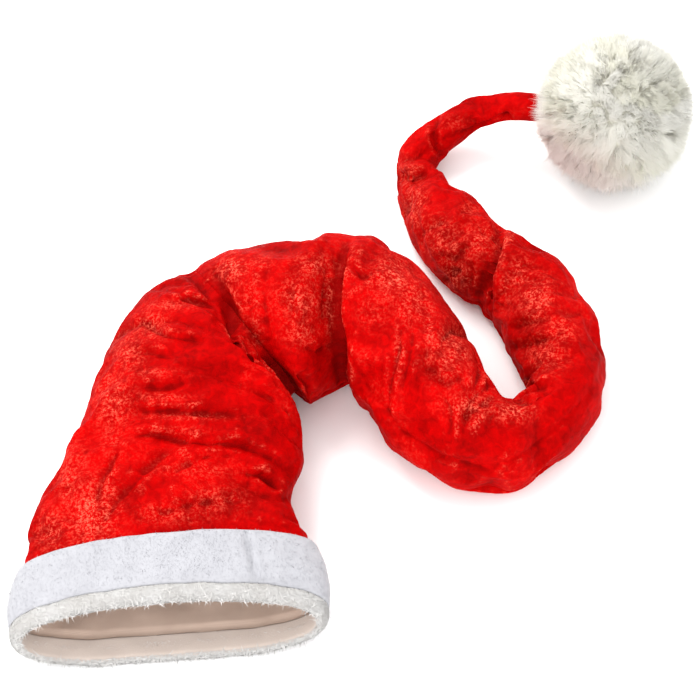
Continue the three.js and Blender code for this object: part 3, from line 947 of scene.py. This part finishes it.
def fur_strands(name, centre, count, rng, clumps, leans):
    """Curved strands gathered into tufts, flat strips that each have five points and a pointed tip."""
    out = unit(rng.normal(size=(count, 3)))
    tuft = np.concatenate([np.argmax(part @ clumps.T, axis=1) for part in np.array_split(out, 12)])
    length = FUR_LENGTH * rng.uniform(0.65, 1.15, count)
    length *= 0.88 + 0.24 * ((tuft * 7919) % 101) / 101
    length *= np.where(rng.random(count) < 0.14, 1.3, 1.0)
    length = length[:, None]
    root = out * FUR_ROOT
    gathered = unit(0.45 * out + 0.55 * clumps[tuft])
    bend = leans[tuft] + rng.normal(size=(count, 3)) * 0.3
    bend -= out * (bend * out).sum(1, keepdims=True)
    tip = gathered * (FUR_ROOT + length * 0.9) + bend * length * 0.6
    elbow = out * (FUR_ROOT + length * 0.5) + bend * length * 0.12
    stages = np.array([0, 0.55, 1.0])[None, :, None]
    start, middle, end = (place[:, None] for place in (root, elbow, tip))
    line = (1 - stages) ** 2 * start + 2 * stages * (1 - stages) * middle + stages**2 * end
    line = line + np.array(centre)
    half = unit(np.cross(tip - root, out)) * STRAND_HALF
    corners = [line[:, 0] - half, line[:, 0] + half]
    corners += [line[:, 1] - half * 0.85, line[:, 1] + half * 0.85, line[:, 2]]
    points = np.stack(corners, axis=1)
    points[..., 2] = np.maximum(points[..., 2], FUR_CLEARANCE)
    first = np.arange(count)[:, None] * 5
    faces = (first + [0, 1, 3, 2]).tolist() + (first + [2, 3, 4]).tolist()
    piece = add_mesh(name, points, faces)
    outward = unit(points.reshape(-1, 3) - np.array(centre))
    shading = unit(0.85 * outward + 0.2 * np.repeat(gathered + bend, 5, axis=0))
    piece.data.normals_split_custom_set_from_vertices(shading.tolist())
    along_strand = np.tile([0, 0, 0.55, 0.55, 1.0], count)
    shade = np.repeat(((tuft * 2654435761) % 1000) / 1000, 5)
    # Painted bounce light: the fur on the side that faces the red velvet is painted pink
    towards_velvet = outward @ np.array((-0.62, -0.55, -0.56))
    painted_bounce = 0.55 * smoothstep(towards_velvet, 0.35, 0.95)
    for label, values in (("tip", along_strand), ("tuft", shade), ("painted_bounce", painted_bounce)):
        add_value(piece, label, values)
    return piece


def pompom_pieces():
    """A ball of long fur on a woolly core, sitting on the tail's tip."""
    x, y, face = route(np.array([TIP_AT]))[0, :3]
    reach = POMPOM_RADIUS - POCKET_DEPTH - 0.002
    centre = Vector((x + math.cos(face) * reach, y + math.sin(face) * reach, POMPOM_HEIGHT))
    rng = np.random.default_rng(PILE_SEED + 1)
    noise.seed_set(PILE_SEED + 1)
    material = fur_material()
    k = np.arange(TUFTS) + 0.5
    level = 1 - 2 * k / TUFTS
    turn = k * math.pi * (3 - math.sqrt(5))
    ring = np.sqrt(1 - level**2)
    clumps = np.stack([ring * np.cos(turn), ring * np.sin(turn), level], axis=1)
    clumps = unit(clumps + rng.normal(size=clumps.shape) * 0.05)
    drift = [noise.noise_vector(Vector(c) * 2.6 + Vector((5, 2, 9))) for c in clumps.tolist()]
    leans = np.array(drift) * 0.35
    leans += rng.normal(size=clumps.shape) * 0.28 + np.array((0, 0, -0.16))
    core = pompom_core(centre)
    finish_piece(core, material, "fur", "pompom")
    for number in (1, 2):
        fur = fur_strands(f"pompom_fur_{number}", centre, STRANDS, rng, clumps, leans)
        finish_piece(fur, material, "fur")


def pompom_core(centre):
    """The lumpy ball that the strands grow from."""
    rings, sides = 40, 64
    polar = np.linspace(0.02, math.pi - 0.02, rings)
    turn = angles(sides)
    ball = np.stack(
        [
            np.sin(polar)[:, None] * np.cos(turn),
            -np.sin(polar)[:, None] * np.sin(turn),
            np.cos(polar)[:, None] * np.ones(sides),
        ],
        axis=-1,
    )
    lumps = np.array([noise.noise(Vector(p) * 7) for p in ball.reshape(-1, 3).tolist()])
    radius = CORE_RADIUS + CORE_LUMPS * lumps.reshape(rings, sides)
    points = ball * radius[..., None] + np.array(centre)
    faces = grid_faces(rings, sides).tolist()
    faces.append(list(range(sides))[::-1])
    faces.append([(rings - 1) * sides + j for j in range(sides)])
    core = add_mesh("pompom_core", points, faces)
    for label, level in (("tip", 0.25), ("tuft", 0.4), ("painted_bounce", 0.0)):
        add_value(core, label, np.full(rings * sides, level))
    return core


def add_camera():
    """The camera of the photograph."""
    camera = bpy.data.cameras.new("camera")
    camera.sensor_width = 36
    camera.lens = FOCUS / IMAGE * camera.sensor_width
    holder = bpy.data.objects.new("camera", camera)
    holder.location = camera_place
    holder.rotation_euler = (TARGET - camera_place).to_track_quat("-Z", "Y").to_euler()
    bpy.context.scene.collection.objects.link(holder)
    bpy.context.scene.camera = holder


def area_light(name, place, size, power, colour):
    """A soft square light aimed at the middle of the hat."""
    light = bpy.data.lights.new(name, "AREA")
    light.size = size
    light.energy = power
    light.color = colour
    holder = bpy.data.objects.new(name, light)
    holder.location = place
    holder.rotation_euler = (TARGET - Vector(place)).to_track_quat("-Z", "Y").to_euler()
    bpy.context.scene.collection.objects.link(holder)


def add_studio():
    """A pale floor under a bright sky, with a soft light from behind and one from the front."""
    half = 12
    corners = [(-half, -half, 0), (half, -half, 0), (half, half, 0), (-half, half, 0)]
    floor = add_mesh("floor", corners, [(0, 1, 2, 3)])
    material, tree, shader = new_material("pale_floor")
    place = tree.nodes.new("ShaderNodeTexCoord").outputs["Object"]
    clouds = noise_node(tree, place, 2, 2)
    link(tree, ramp_node(tree, clouds, [(0.3, 0.93), (0.7, 0.95)]), shader.inputs["Base Color"])
    shader.inputs["Roughness"].default_value = 0.8
    shader.inputs["Specular IOR Level"].default_value = 0.1
    floor.data.materials.append(material)
    world = bpy.data.worlds.new("studio")
    world.use_nodes = True
    background = world.node_tree.nodes["Background"]
    background.inputs["Color"].default_value = (1, 1, 1, 1)
    background.inputs["Strength"].default_value = 1.5
    bpy.context.scene.world = world
    area_light("key", (-1.2, 1.5, 2.6), 1.6, 80, (1.0, 0.99, 0.97))
    area_light("fill", (-0.6, -2.4, 1.3), 2.4, 52, (1.0, 1.0, 1.0))
    bpy.context.scene.view_settings.view_transform = "Standard"


add_camera()
add_studio()
velvet, velvet_along = velvet_pieces()
rim_pieces()
lining_piece(velvet, velvet_along)
pompom_pieces()
